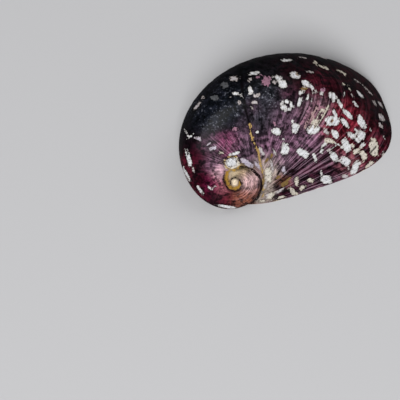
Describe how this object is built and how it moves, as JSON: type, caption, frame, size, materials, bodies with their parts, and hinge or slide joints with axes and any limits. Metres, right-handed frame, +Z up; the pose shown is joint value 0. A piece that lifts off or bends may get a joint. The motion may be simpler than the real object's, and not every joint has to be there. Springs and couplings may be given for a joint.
{
  "type": "nerite snail shell",
  "caption": "Empty shell of a river nerite: one fast-widening whorl with a small low spire, lying on its half-closed aperture.",
  "frame": {"origin": "on the resting plane, under the centre of the shell's box", "axes": "+X from the coiled side towards the outer lip, along the longest extent; +Y away from the spire; +Z up from the aperture, along the shortest extent"},
  "size_m": [0.011, 0.007, 0.0044],
  "materials": {
    "shell": "natural glossy shell, wine red to purple black with cream blotches"
  },
  "bodies": {
    "root": {"shell": "shell"}
  },
  "joints": []
}
